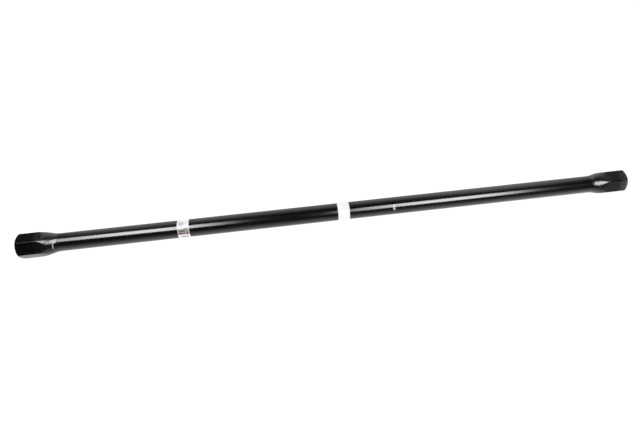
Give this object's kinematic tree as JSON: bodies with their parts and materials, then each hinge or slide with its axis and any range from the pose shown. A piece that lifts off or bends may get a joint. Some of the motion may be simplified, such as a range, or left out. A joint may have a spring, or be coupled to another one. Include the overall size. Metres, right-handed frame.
{
  "type": "torsion bar",
  "caption": "Straight black suspension torsion bar: round shaft, tapered necks and a hexagonal head forged on each end, with a paper label and a tape band.",
  "frame": {"origin": "on the bar's axis, halfway between the two end faces", "axes": "+X along the bar from the head nearer the label to the other head, +Z normal to a flat of the head nearer the label, +Y level and away from the front, where the paint strokes are"},
  "size_m": [0.971, 0.0396, 0.0384],
  "materials": {
    "black_coat": "gloss",
    "label_paper": "satin",
    "white_tape": "satin",
    "marking_paint": "satin"
  },
  "bodies": {
    "root": {"torsion_bar": "black_coat", "part_label": "label_paper", "marker_tape": "white_tape", "neck_paint_tick": "marking_paint", "shaft_paint_tick": "marking_paint"}
  },
  "joints": []
}
